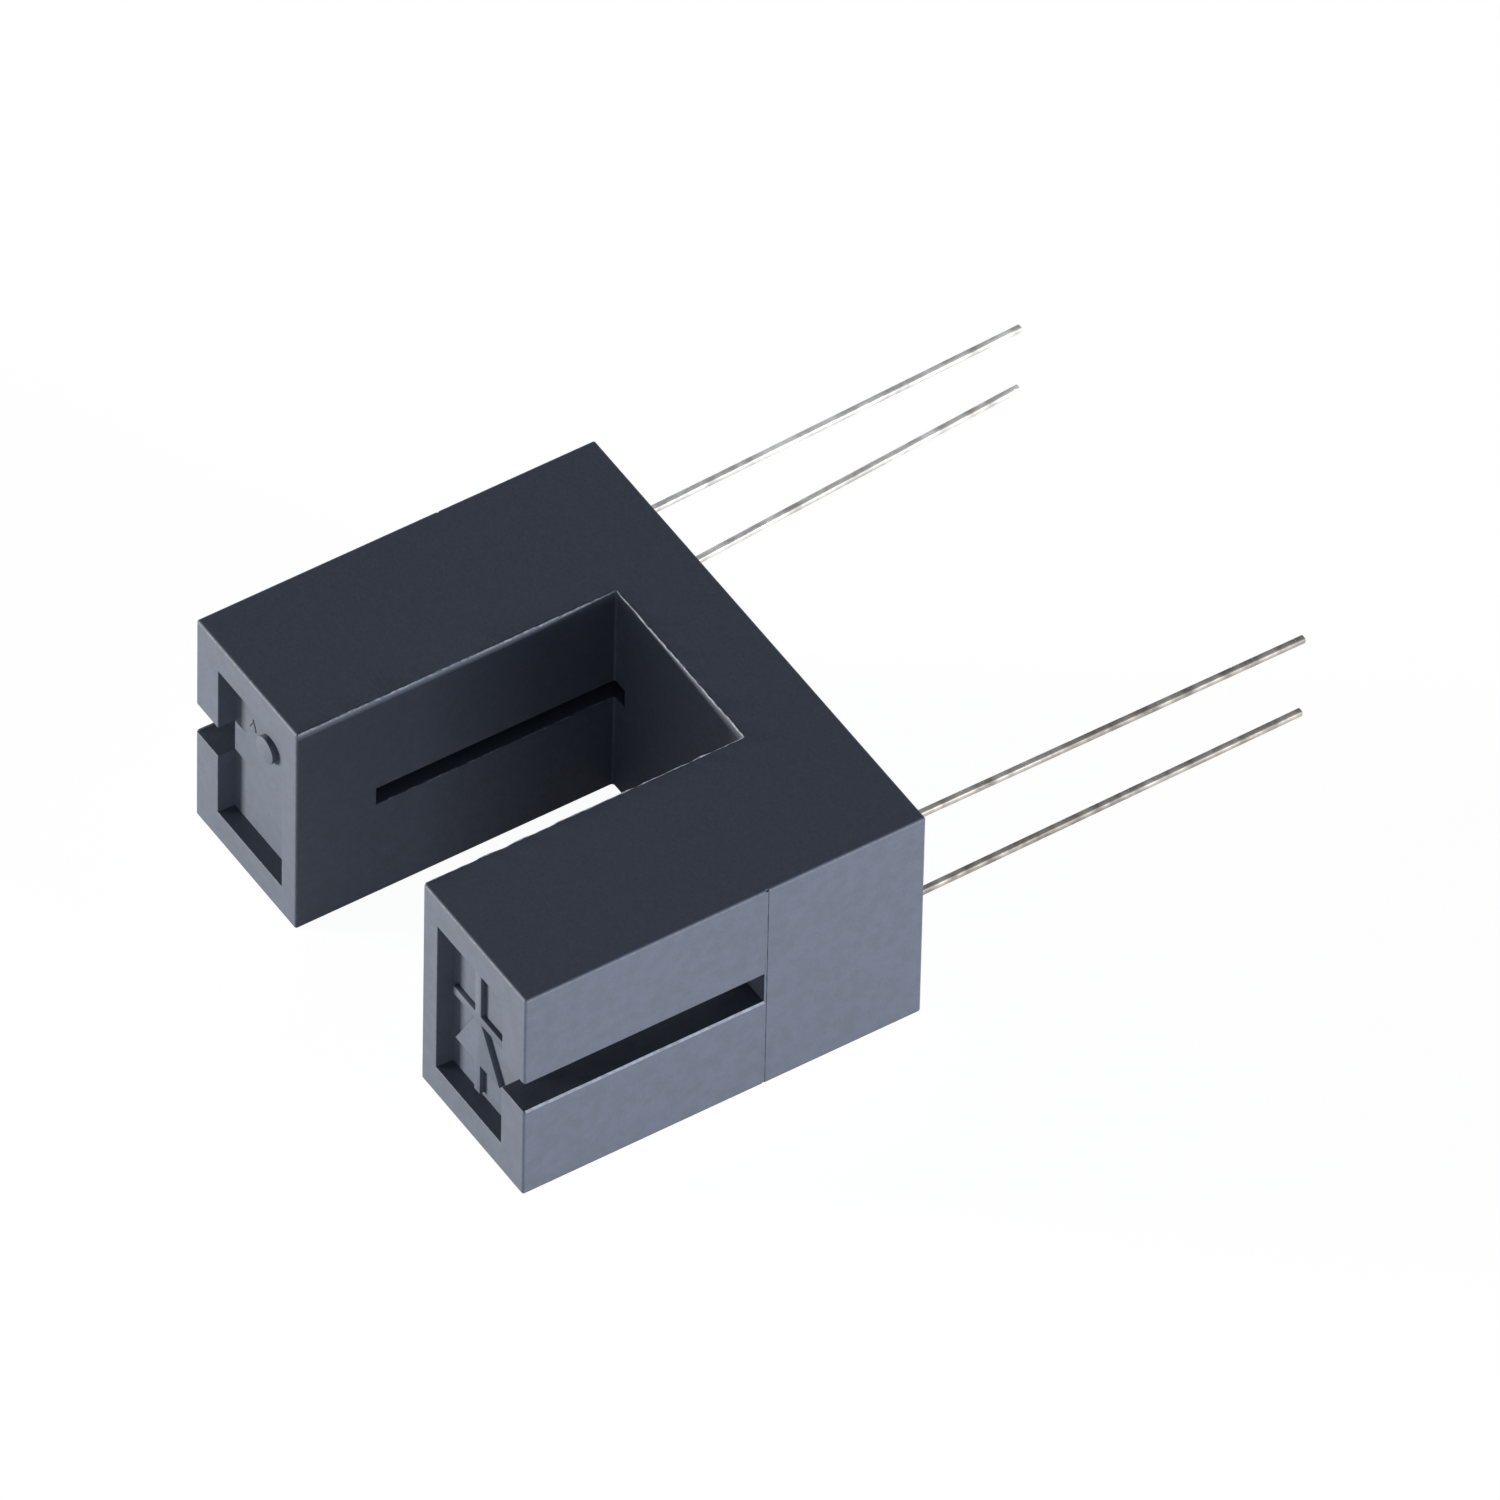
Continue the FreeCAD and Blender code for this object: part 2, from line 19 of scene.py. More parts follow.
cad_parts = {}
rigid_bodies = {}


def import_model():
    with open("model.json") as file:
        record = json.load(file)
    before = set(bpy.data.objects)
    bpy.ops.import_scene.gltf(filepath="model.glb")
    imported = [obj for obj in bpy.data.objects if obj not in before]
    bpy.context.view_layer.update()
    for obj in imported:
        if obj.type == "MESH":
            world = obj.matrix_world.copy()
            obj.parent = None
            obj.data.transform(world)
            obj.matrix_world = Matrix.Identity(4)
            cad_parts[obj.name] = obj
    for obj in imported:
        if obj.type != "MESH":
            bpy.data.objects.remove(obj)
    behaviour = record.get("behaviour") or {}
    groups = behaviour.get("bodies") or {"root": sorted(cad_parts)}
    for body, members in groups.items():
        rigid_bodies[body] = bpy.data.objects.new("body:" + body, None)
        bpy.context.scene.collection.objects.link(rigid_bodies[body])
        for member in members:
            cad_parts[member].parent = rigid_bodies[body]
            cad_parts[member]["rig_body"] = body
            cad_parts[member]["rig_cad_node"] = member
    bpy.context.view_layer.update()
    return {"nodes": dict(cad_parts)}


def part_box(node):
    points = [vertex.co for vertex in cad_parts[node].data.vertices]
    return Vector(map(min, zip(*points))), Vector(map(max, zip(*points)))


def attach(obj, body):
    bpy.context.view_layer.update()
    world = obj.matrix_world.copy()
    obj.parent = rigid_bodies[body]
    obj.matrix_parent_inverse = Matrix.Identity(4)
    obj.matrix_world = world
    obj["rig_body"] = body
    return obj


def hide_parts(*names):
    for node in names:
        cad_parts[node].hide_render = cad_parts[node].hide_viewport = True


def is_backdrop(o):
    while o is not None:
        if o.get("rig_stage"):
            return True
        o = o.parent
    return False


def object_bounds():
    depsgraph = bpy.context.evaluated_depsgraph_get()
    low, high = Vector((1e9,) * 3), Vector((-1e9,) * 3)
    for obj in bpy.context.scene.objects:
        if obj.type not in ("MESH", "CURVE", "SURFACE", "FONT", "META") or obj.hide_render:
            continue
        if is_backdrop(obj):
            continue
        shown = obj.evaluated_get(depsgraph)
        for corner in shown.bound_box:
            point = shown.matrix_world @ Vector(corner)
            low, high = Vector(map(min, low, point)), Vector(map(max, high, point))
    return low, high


LOG = logging.getLogger("slotted_optical_switch")
MM = 0.001
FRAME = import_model()

NOISE_LOW, NOISE_HIGH = 0.35, 0.65  # nearly all of a noise texture's values lie between these
WHITE = (1.0, 1.0, 1.0, 1.0)
BEVEL_FROM_DEG = 30.0  # edges sharper than this are rounded
BEVEL_SEGMENTS = 2
SMOOTH_TO_DEG = 32.0  # faces that meet at less than this are shaded as one
FLAT_TO_DEG = 1.0  # faces that meet at less than this are one face
MERGE_MM = 0.0005
PARALLEL = 0.999  # the cosine from which an edge counts as running along a direction

Point = tuple[float, float, float]
Socket = Union[float, tuple, bpy.types.NodeSocket]


def linear(hex_colour: str) -> tuple[float, float, float, float]:
    """Turns an sRGB hex colour into a linear one.

    Args:
        hex_colour: The colour as six hex digits after a hash sign.

    Returns:
        The linear red, green, blue and an alpha of one.
    """
    channels = [int(hex_colour[start:start + 2], 16) / 255 for start in (1, 3, 5)]
    values = [c / 12.92 if c <= 0.04045 else ((c + 0.055) / 1.055) ** 2.4 for c in channels]
    return (values[0], values[1], values[2], 1.0)


def per_metre(feature_mm: float) -> float:
    """Returns the texture scale at which one feature of a noise is that many millimetres wide."""
    return 1 / (feature_mm * MM)


class Arm(Enum):
    """The two arms of the U, by the side of the gap on which they stand."""

    EMITTER = 1
    SENSOR = -1

    @property
    def prefix(self) -> str:
        """The start of the names of what the arm holds."""
        return "led" if self is Arm.EMITTER else "phototransistor"


class Shading(Enum):
    """How a finished piece is shaded."""

    FLAT = 0
    ROUNDED = 1


def add_node(tree: bpy.types.NodeTree, kind: str, settings: Optional[dict] = None,
             **inputs: Socket) -> bpy.types.ShaderNode:
    """Adds one node with its settings and links.

    Args:
        tree: The node tree that takes the node.
        kind: The node's type name.
        settings: Properties to set on the node itself.
        inputs: Values or output sockets for the inputs, by name with underscores for spaces, or by
            place as n0, n1 and so on.

    Returns:
        The new node.
    """
    node = tree.nodes.new(kind)
    for name, value in (settings or {}).items():
        setattr(node, name, value)
    for name, value in inputs.items():
        socket = node.inputs[int(name[1:])] if name[0] == "n" and name[1:].isdigit() \
            else node.inputs[name.replace("_", " ")]
        if isinstance(value, bpy.types.NodeSocket):
            tree.links.new(value, socket)
        else:
            socket.default_value = value
    return node


class Finish:
    """A surface that is built as a procedural material."""

    name: str

    def shader(self, tree: bpy.types.NodeTree, place: bpy.types.NodeSocket) -> bpy.types.ShaderNode:
        """Adds the finish's nodes.

        Args:
            tree: The material's node tree.
            place: The point on the object, in its own coordinates.

        Returns:
            The shader node.
        """
        raise NotImplementedError

    def make(self) -> bpy.types.Material:
        """Builds the material.

        Returns:
            The new material.
        """
        material = bpy.data.materials.new(self.name)
        material.use_nodes = True
        tree = material.node_tree
        tree.nodes.clear()
        place = add_node(tree, "ShaderNodeTexCoord").outputs["Object"]
        add_node(tree, "ShaderNodeOutputMaterial", Surface=self.shader(tree, place).outputs[0])
        return material


# Glass-filled PBT, injection moulded in a spark-eroded tool: a dark blue-grey that scatters light
# broadly, with a fine grain and a barely visible mottle where the filler lies nearer the skin
@dataclass(frozen=True)
class MouldedPlastic(Finish):
    """The housing's plastic."""

    name: str = "moulded_pbt_satin"
    dark: str = "#3b4352"
    light: str = "#41495a"
    mottle_mm: float = 0.32
    mottle_detail: float = 5.0
    mottle_crispness: float = 0.6
    grain_mm: float = 0.07
    grain_detail: float = 3.0
    grain_low: float = 0.3
    grain_high: float = 0.7
    grain_height_mm: float = 0.006
    grain_strength: float = 0.35
    roughness_low: float = 0.62
    roughness_high: float = 0.74
    ior: float = 1.6

    def shader(self, tree: bpy.types.NodeTree, place: bpy.types.NodeSocket) -> bpy.types.ShaderNode:
        """Adds the plastic's nodes.

        Args:
            tree: The material's node tree.
            place: The point on the object, in its own coordinates.

        Returns:
            The plastic's shader node.
        """
        mottle = add_node(tree, "ShaderNodeTexNoise", Vector=place, Scale=per_metre(self.mottle_mm),
                          Detail=self.mottle_detail, Roughness=self.mottle_crispness)
        grain = add_node(tree, "ShaderNodeTexNoise", Vector=place, Scale=per_metre(self.grain_mm),
                         Detail=self.grain_detail)
        share = add_node(tree, "ShaderNodeMapRange", Value=mottle.outputs[0],
                         From_Min=NOISE_LOW, From_Max=NOISE_HIGH)
        colour = add_node(tree, "ShaderNodeMix", {"data_type": "RGBA"}, n0=share.outputs[0],
                          n6=linear(self.dark), n7=linear(self.light))
        roughness = add_node(tree, "ShaderNodeMapRange", Value=grain.outputs[0],
                             From_Min=self.grain_low, From_Max=self.grain_high,
                             To_Min=self.roughness_low, To_Max=self.roughness_high)
        bump = add_node(tree, "ShaderNodeBump", Height=grain.outputs[0], Strength=self.grain_strength,
                        Distance=self.grain_height_mm * MM)
        return add_node(tree, "ShaderNodeBsdfPrincipled", Base_Color=colour.outputs[2],
                        Roughness=roughness.outputs[0], IOR=self.ior, Normal=bump.outputs[0])


# The same plastic squeezed out along the tool's edges, made paler than the housing: partly the flash,
# which whitens where it is thin, and partly a painted highlight of the rounded edges; a pale, dull
# hairline, broken where it was torn off, round the gap and the slits, and a lighter, smoother line on the
# slots' lips, which is a painted highlight of the rounded lip
@dataclass(frozen=True)
class FlashedPlastic(Finish):
    """The plastic of one kind of flash, paler than the housing to paint the highlight of its edge."""

    name: str
    dark: str
    light: str
    fleck_mm: float = 0.12
    fleck_detail: float = 3.0
    fleck_low: float = 0.38
    fleck_high: float = 0.62
    roughness: float = 0.62
    ior: float = 1.6

    def shader(self, tree: bpy.types.NodeTree, place: bpy.types.NodeSocket) -> bpy.types.ShaderNode:
        """Adds the flash's nodes.

        Args:
            tree: The material's node tree.
            place: The point on the object, in its own coordinates.

        Returns:
            The flash's shader node.
        """
        fleck = add_node(tree, "ShaderNodeTexNoise", Vector=place, Scale=per_metre(self.fleck_mm),
                         Detail=self.fleck_detail)
        share = add_node(tree, "ShaderNodeMapRange", Value=fleck.outputs[0],
                         From_Min=self.fleck_low, From_Max=self.fleck_high)
        colour = add_node(tree, "ShaderNodeMix", {"data_type": "RGBA"}, n0=share.outputs[0],
                          n6=linear(self.dark), n7=linear(self.light))
        return add_node(tree, "ShaderNodeBsdfPrincipled", Base_Color=colour.outputs[2],
                        Roughness=self.roughness, IOR=self.ior)


# Copper alloy strip, stamped and hot-dipped in tin: a light, slightly warm grey metal with blurred
# reflections, smeared along the lead where the tin ran, and darker where the tin has dulled
@dataclass(frozen=True)
class TinPlate(Finish):
    """The leads' tin."""

    name: str
    dark: str
    light: str
    smear_mm: float = 0.5
    smear_detail: float = 4.0
    lump_mm: float = 0.22
    lump_detail: float = 2.0
    lump_height_mm: float = 0.01
    lump_strength: float = 0.5
    roughness_low: float = 0.6
    roughness_high: float = 0.75

    def shader(self, tree: bpy.types.NodeTree, place: bpy.types.NodeSocket) -> bpy.types.ShaderNode:
        """Adds the tin's nodes.

        Args:
            tree: The material's node tree.
            place: The point on the object, in its own coordinates.

        Returns:
            The tin's shader node.
        """
        smear = add_node(tree, "ShaderNodeTexNoise", Vector=place, Scale=per_metre(self.smear_mm),
                         Detail=self.smear_detail)
        lump = add_node(tree, "ShaderNodeTexNoise", Vector=place, Scale=per_metre(self.lump_mm),
                        Detail=self.lump_detail)
        share = add_node(tree, "ShaderNodeMapRange", Value=smear.outputs[0],
                         From_Min=NOISE_LOW, From_Max=NOISE_HIGH)
        colour = add_node(tree, "ShaderNodeMix", {"data_type": "RGBA"}, n0=share.outputs[0],
                          n6=linear(self.dark), n7=linear(self.light))
        roughness = add_node(tree, "ShaderNodeMapRange", Value=smear.outputs[0],
                             From_Min=NOISE_LOW, From_Max=NOISE_HIGH,
                             To_Min=self.roughness_high, To_Max=self.roughness_low)
        bump = add_node(tree, "ShaderNodeBump", Height=lump.outputs[0], Strength=self.lump_strength,
                        Distance=self.lump_height_mm * MM)
        return add_node(tree, "ShaderNodeBsdfPrincipled", Base_Color=colour.outputs[2], Metallic=1.0,
                        Roughness=roughness.outputs[0], Normal=bump.outputs[0])


# Epoxy cast in a polished mould: glossy and smooth, with faint flow streaks in its depth
@dataclass(frozen=True)
class CastEpoxy(Finish):
    """The epoxy of one package."""

    name: str
    dark: str
    light: str
    transmission: float
    roughness_low: float = 0.13
    roughness_high: float = 0.21
    flow_mm: float = 1.2
    flow_detail: float = 3.0
    ior: float = 1.55

    def shader(self, tree: bpy.types.NodeTree, place: bpy.types.NodeSocket) -> bpy.types.ShaderNode:
        """Adds the epoxy's nodes.

        Args:
            tree: The material's node tree.
            place: The point on the object, in its own coordinates.

        Returns:
            The epoxy's shader node.
        """
        flow = add_node(tree, "ShaderNodeTexNoise", Vector=place, Scale=per_metre(self.flow_mm),
                        Detail=self.flow_detail)
        share = add_node(tree, "ShaderNodeMapRange", Value=flow.outputs[0],
                         From_Min=NOISE_LOW, From_Max=NOISE_HIGH)
        colour = add_node(tree, "ShaderNodeMix", {"data_type": "RGBA"}, n0=share.outputs[0],
                          n6=linear(self.dark), n7=linear(self.light))
        roughness = add_node(tree, "ShaderNodeMapRange", Value=flow.outputs[0],
                             From_Min=NOISE_LOW, From_Max=NOISE_HIGH,
                             To_Min=self.roughness_low, To_Max=self.roughness_high)
        return add_node(tree, "ShaderNodeBsdfPrincipled", Base_Color=colour.outputs[2],
                        Roughness=roughness.outputs[0], IOR=self.ior, Transmission_Weight=self.transmission)


# Black epoxy, poured and cured: a half-gloss skin that ripples a little and creeps up what it meets
@dataclass(frozen=True)
class Potting(Finish):
    """The potting's epoxy."""

    name: str = "poured_black_epoxy"
    dark: str = "#15161a"
    light: str = "#24262b"
    ripple_mm: float = 0.6
    ripple_detail: float = 4.0
    ripple_height_mm: float = 0.02
    ripple_strength: float = 0.5
    roughness_low: float = 0.36
    roughness_high: float = 0.5
    ior: float = 1.55

    def shader(self, tree: bpy.types.NodeTree, place: bpy.types.NodeSocket) -> bpy.types.ShaderNode:
        """Adds the potting's nodes.

        Args:
            tree: The material's node tree.
            place: The point on the object, in its own coordinates.

        Returns:
            The potting's shader node.
        """
        ripple = add_node(tree, "ShaderNodeTexNoise", Vector=place, Scale=per_metre(self.ripple_mm),
                          Detail=self.ripple_detail)
        share = add_node(tree, "ShaderNodeMapRange", Value=ripple.outputs[0],
                         From_Min=NOISE_LOW, From_Max=NOISE_HIGH)
        colour = add_node(tree, "ShaderNodeMix", {"data_type": "RGBA"}, n0=share.outputs[0],
                          n6=linear(self.dark), n7=linear(self.light))
        roughness = add_node(tree, "ShaderNodeMapRange", Value=ripple.outputs[0],
                             From_Min=NOISE_LOW, From_Max=NOISE_HIGH,
                             To_Min=self.roughness_low, To_Max=self.roughness_high)
        bump = add_node(tree, "ShaderNodeBump", Height=ripple.outputs[0], Strength=self.ripple_strength,
                        Distance=self.ripple_height_mm * MM)
        return add_node(tree, "ShaderNodeBsdfPrincipled", Base_Color=colour.outputs[2],
                        Roughness=roughness.outputs[0], IOR=self.ior, Normal=bump.outputs[0])


# Semiconductor wafer, sawn into dice: dark grey with a half-metallic sheen and a fine saw grain
@dataclass(frozen=True)
class DicedWafer(Finish):
    """The chips' wafer."""

    name: str = "diced_wafer"
    dark: str = "#2f3138"
    light: str = "#4a4d57"
    grain_mm: float = 0.02
    grain_detail: float = 2.0
    roughness: float = 0.28
    metallic: float = 0.3

    def shader(self, tree: bpy.types.NodeTree, place: bpy.types.NodeSocket) -> bpy.types.ShaderNode:
        """Adds the wafer's nodes.

        Args:
            tree: The material's node tree.
            place: The point on the object, in its own coordinates.

        Returns:
            The wafer's shader node.
        """
        grain = add_node(tree, "ShaderNodeTexNoise", Vector=place, Scale=per_metre(self.grain_mm),
                         Detail=self.grain_detail)
        colour = add_node(tree, "ShaderNodeMix", {"data_type": "RGBA"}, n0=grain.outputs[0],
                          n6=linear(self.dark), n7=linear(self.light))
        return add_node(tree, "ShaderNodeBsdfPrincipled", Base_Color=colour.outputs[2],
                        Metallic=self.metallic, Roughness=self.roughness)


# Gold, drawn through a die: bright yellow metal with a faint, fine unevenness of tone
@dataclass(frozen=True)
class DrawnGold(Finish):
    """The bond wires' gold."""

    name: str = "drawn_gold"
    dark: str = "#c99a3e"
    light: str = "#e3bd63"
    line_mm: float = 0.01
    line_detail: float = 2.0
    roughness: float = 0.22

    def shader(self, tree: bpy.types.NodeTree, place: bpy.types.NodeSocket) -> bpy.types.ShaderNode:
        """Adds the gold's nodes.

        Args:
            tree: The material's node tree.
            place: The point on the object, in its own coordinates.

        Returns:
            The gold's shader node.
        """
        line = add_node(tree, "ShaderNodeTexNoise", Vector=place, Scale=per_metre(self.line_mm),
                        Detail=self.line_detail)
        colour = add_node(tree, "ShaderNodeMix", {"data_type": "RGBA"}, n0=line.outputs[0],
                          n6=linear(self.dark), n7=linear(self.light))
        return add_node(tree, "ShaderNodeBsdfPrincipled", Base_Color=colour.outputs[2], Metallic=1.0,
                        Roughness=self.roughness)


# Matt white card: it spreads light evenly and keeps the switch's shadow, which also dims what the
# switch mirrors of the card beside and beneath it
@dataclass(frozen=True)
class TableCard(Finish):
    """The table's card, which the camera and the reflections see as white."""

    name: str = "white_table_card"
    shade: str = "#9c9c9c"
    glow: float = 0.95
    shade_reach_mm: float = 14.0
    shade_samples: int = 8

    def shader(self, tree: bpy.types.NodeTree, place: bpy.types.NodeSocket) -> bpy.types.ShaderNode:
        """Adds the card's nodes.

        Args:
            tree: The material's node tree.
            place: The point on the object, in its own coordinates.

        Returns:
            The card's shader node.
        """
        path = add_node(tree, "ShaderNodeLightPath")
        card = add_node(tree, "ShaderNodeBsdfDiffuse", Color=linear(self.shade))
        seen = add_node(tree, "ShaderNodeMath", {"operation": "MAXIMUM"},
                        n0=path.outputs["Is Camera Ray"], n1=path.outputs["Is Transmission Ray"])
        open_sky = add_node(tree, "ShaderNodeAmbientOcclusion", {"samples": self.shade_samples},
                            Distance=self.shade_reach_mm * MM)
        mirrored = add_node(tree, "ShaderNodeMath", {"operation": "MULTIPLY"},
                            n0=path.outputs["Is Glossy Ray"], n1=open_sky.outputs["AO"])
        shown = add_node(tree, "ShaderNodeMath", {"operation": "MAXIMUM"},
                         n0=seen.outputs[0], n1=mirrored.outputs[0])
        strength = add_node(tree, "ShaderNodeMath", {"operation": "MULTIPLY"},
                            n0=shown.outputs[0], n1=self.glow)
        light = add_node(tree, "ShaderNodeEmission", Color=WHITE, Strength=strength.outputs[0])
        return add_node(tree, "ShaderNodeAddShader", n0=card.outputs[0], n1=light.outputs[0])


@dataclass(frozen=True)
class Finishes:
    """Every material of the switch, made once."""

    plastic: bpy.types.Material
    # flash: paler than the housing, partly whitened flash and partly a painted highlight of the edge
    flash: bpy.types.Material
    # the lip's lighter colour is a painted highlight of the rounded lip catching the light
    lip_flash: bpy.types.Material
    tin: bpy.types.Material
    # a darker copy of the same tin, which paints shade on the emitter's leads
    dull_tin: bpy.types.Material
    clear_epoxy: bpy.types.Material
    filter_epoxy: bpy.types.Material
    potting: bpy.types.Material
    wafer: bpy.types.Material
    gold: bpy.types.Material

    @classmethod
    def make(cls) -> "Finishes":
        """Builds all the materials.

        Returns:
            The set of materials.
        """
        return cls(
            plastic=MouldedPlastic().make(),
            # The flash's pale colour is partly whitened flash and partly a painted highlight of the rounded
            # edges
            flash=FlashedPlastic("pbt_flash_and_painted_highlight", "#464d5a", "#737b89").make(),
            # The lip's lighter colour is a painted highlight of the rounded lip, on a real ridge of flash
            lip_flash=FlashedPlastic("pbt_lip_painted_highlight", "#6c7583", "#868f9d").make(),
            tin=TinPlate("dipped_tin", "#a5a29e", "#d6d3ce").make(),
            # A darker copy of the same tin: painted shade on the emitter's leads
            dull_tin=TinPlate("dipped_tin_painted_shade", "#6f6b66", "#a29e98").make(),
            clear_epoxy=CastEpoxy("cast_clear_epoxy", "#b9c3cc", "#d5dde4", transmission=0.85).make(),
            filter_epoxy=CastEpoxy("cast_filter_epoxy", "#0b090c", "#17131a", transmission=0.1).make(),
            potting=Potting().make(),
            wafer=DicedWafer().make(),
            gold=DrawnGold().make(),
        )


def deselect_all() -> None:
    """Leaves nothing selected, so that an operator acts only on what is picked next."""
    if bpy.context.object and bpy.context.object.mode != "OBJECT":
        bpy.ops.object.mode_set(mode="OBJECT")
    bpy.ops.object.select_all(action="DESELECT")


def pick(piece: bpy.types.Object) -> None:
    """Selects one object alone and makes it active.

    Args:
        piece: The object.
    """
    deselect_all()
    piece.select_set(True)
    bpy.context.view_layer.objects.active = piece


def pick_edges(piece: bpy.types.Object, direction: Vector) -> None:
    """Goes into edit mode with only the edges selected that run along a direction.

    Args:
        piece: The object whose edges are tested.
        direction: The direction, as a unit vector.
    """
    pick(piece)
    bpy.ops.object.mode_set(mode="EDIT")
    bpy.ops.mesh.select_mode(type="EDGE")
    bpy.ops.mesh.select_all(action="DESELECT")
    bpy.ops.object.mode_set(mode="OBJECT")
    points = piece.data.vertices
    for edge in piece.data.edges:
        first, second = edge.vertices
        line = (points[second].co - points[first].co).normalized()
        edge.select = abs(line.dot(direction)) > PARALLEL
    bpy.ops.object.mode_set(mode="EDIT")


def apply_place(piece: bpy.types.Object) -> None:
    """Moves a piece's place, turn and scale into its mesh."""
    pick(piece)
    bpy.ops.object.transform_apply(location=True, rotation=True, scale=True)


def round_edges(piece: bpy.types.Object, width_mm: float) -> None:
    """Rounds a piece's sharp edges by an applied bevel.

    Args:
        piece: The object.
        width_mm: The bevel's width.
    """
    modifier = piece.modifiers.new("edge_round", "BEVEL")
    modifier.width = width_mm * MM
    modifier.segments = BEVEL_SEGMENTS
    modifier.limit_method = "ANGLE"
    modifier.angle_limit = math.radians(BEVEL_FROM_DEG)
    modifier.use_clamp_overlap = True
    pick(piece)
    bpy.ops.object.modifier_apply(modifier=modifier.name)


def close_mesh(piece: bpy.types.Object) -> None:
    """Merges a mesh's doubles and turns its faces outwards.

    Args:
        piece: The object.
    """
    pick(piece)
    bpy.ops.object.mode_set(mode="EDIT")
    bpy.ops.mesh.select_all(action="SELECT")
    bpy.ops.mesh.remove_doubles(threshold=MERGE_MM * MM)
    bpy.ops.mesh.normals_make_consistent(inside=False)
    bpy.ops.object.mode_set(mode="OBJECT")


def dress(piece: bpy.types.Object, material: bpy.types.Material, shading: Shading,
          slot: Optional[str] = None) -> None:
    """Gives a piece its material and shading.

    Args:
        piece: The object to dress.
        material: Its only material.
        shading: Whether its round edges are smoothed.
        slot: A name for a new piece, which is then attached to the root body, or none for a solid of the
            frame; the name itself is not kept.
    """
    piece.data.materials.clear()
    piece.data.materials.append(material)
    pick(piece)
    if shading is Shading.ROUNDED:
        bpy.ops.object.shade_smooth_by_angle(angle=math.radians(SMOOTH_TO_DEG))
    if slot:
        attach(piece, "root")
    LOG.info("dressed %s with %s", piece.name, material.name)


@dataclass(frozen=True)
class Burr:
    """One kind of flash: its width, how deep its crest lies, and how far that wanders along it.

    A negative sink is a crest that stands out of the edge. The crest goes up and down and from side to
    side by a noise that is read at two places, drift_shift apart.
    """

    width: float
    sink: float
    wander: float
    height: float = 0.04
    step: float = 0.07
    feature: float = 0.3
    drift_shift: float = 7.0


